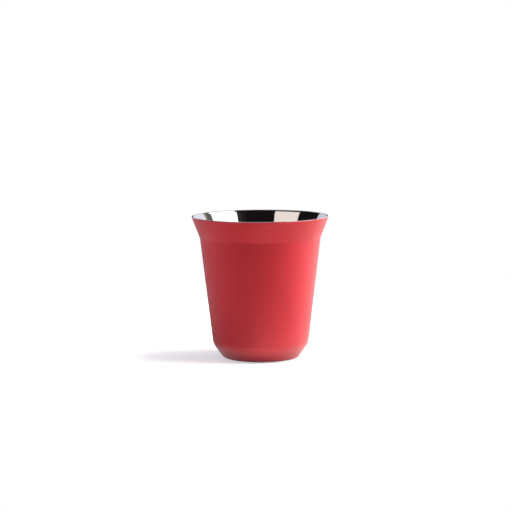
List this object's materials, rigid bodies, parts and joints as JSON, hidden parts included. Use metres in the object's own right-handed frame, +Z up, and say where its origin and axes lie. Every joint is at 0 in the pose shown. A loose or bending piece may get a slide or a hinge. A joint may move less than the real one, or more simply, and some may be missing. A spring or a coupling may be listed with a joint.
{
  "type": "espresso cup",
  "caption": "Small double-walled steel cup without a handle: a flared lip, a tapered body with a waist crease, a bevelled foot and a polished inside.",
  "frame": {"origin": "centre of the foot ring, on the surface that the cup stands on", "axes": "+Z up through the middle of the mouth; the cup is round, so +X and +Y have no preferred side"},
  "size_m": [0.062, 0.062, 0.0645],
  "materials": {
    "red_coat": "matte red coat with a soft grazing sheen",
    "polished_steel": "mirror-polished stainless steel",
    "satin_steel": "satin stainless steel, as stamped"
  },
  "bodies": {
    "root": {"outer_shell": "red_coat", "inner_cup": "polished_steel", "rim_weld": "polished_steel", "base_plate": "satin_steel", "base_weld": "satin_steel"}
  },
  "joints": []
}
